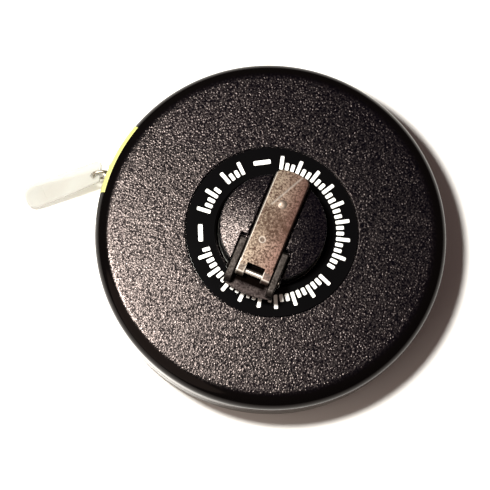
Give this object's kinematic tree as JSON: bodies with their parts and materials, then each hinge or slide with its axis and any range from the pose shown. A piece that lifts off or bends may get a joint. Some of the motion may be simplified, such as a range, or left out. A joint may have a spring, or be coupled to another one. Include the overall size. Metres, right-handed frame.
{
  "type": "surveyor tape reel",
  "caption": "Round closed-case measuring tape reel with a folding metal crank on a raised domed hub, a mouth insert in the rim and a pull tab on the tape end.",
  "frame": {"origin": "centre of the back cover's flat face, where the drum's axis meets it", "axes": "+Z along the drum axis from the back of the case to the crank side; the tape leaves the mouth near 160 degrees from +X; the stowed crank points 67.8 degrees from +X"},
  "size_m": [0.1531, 0.126, 0.0361],
  "materials": {
    "case_black": "fine spark-eroded grain, satin",
    "label_black": "gloss with white print",
    "hub_black": "fine grain, satin",
    "insert_yellow": "satin",
    "crank_nickel": "worn nickel plate, stained",
    "bracket_steel": "dull pressed steel",
    "steel": "zinc plated",
    "knob_black": "satin",
    "drum_grey": "moulded",
    "nylon": "natural",
    "tape": "coated glass fibre",
    "tab_cream": "soft vinyl, satin"
  },
  "bodies": {
    "case": {"back_cover": "case_black", "front_cover": "case_black", "case_screw_1": "steel", "case_screw_2": "steel", "case_screw_3": "steel", "case_screw_4": "steel", "label_ring": "label_black", "mouth_insert": "insert_yellow", "thrust_washer": "nylon"},
    "drum": {"drum_core": "drum_grey", "drum_front_flange": "drum_grey", "tape_coil": "tape", "tape_anchor_pin": "steel", "drum_screw_1": "steel", "drum_screw_2": "steel", "drum_screw_3": "steel", "hub_cap": "hub_black", "crank_bracket": "bracket_steel", "bracket_rivet_1": "steel", "bracket_rivet_2": "steel", "hinge_pin": "steel"},
    "crank": {"crank_arm": "crank_nickel", "knob_rivet": "crank_nickel"},
    "knob": {"crank_knob": "knob_black"},
    "tape_end": {"tape_tail": "tape", "tape_end_ferrule": "steel"},
    "link": {"wire_link": "steel"},
    "tab": {"pull_tab": "tab_cream"}
  },
  "joints": [
    {"name": "drum_spin", "type": "hinge", "parent": "case", "child": "drum", "pos_m": [0, 0, 0.01], "axis": [0, 0, 1], "continuous": true},
    {"name": "crank_fold", "type": "hinge", "parent": "drum", "child": "crank", "pos_m": [-0.00703, -0.01722, 0.0331], "axis": [0.9259, -0.3778, 0], "range_deg": [0, 180]},
    {"name": "knob_spin", "type": "hinge", "parent": "crank", "child": "knob", "pos_m": [0.00287, 0.00704, 0.03], "axis": [0, 0, 1], "continuous": true},
    {"name": "tape_pull", "type": "slide", "parent": "case", "child": "tape_end", "axis": [-0.7934, -0.6088, 0], "range_m": [0, 0.025]},
    {"name": "link_swing", "type": "hinge", "parent": "tape_end", "child": "link", "pos_m": [-0.05968, 0.02324, 0.0113], "axis": [0, 0, 1], "range_deg": [-20, 20]},
    {"name": "tab_tilt", "type": "hinge", "parent": "link", "child": "tab", "pos_m": [-0.06418, 0.02253, 0.0113], "axis": [-0.304, 0.9527, 0], "range_deg": [0, 40]}
  ]
}
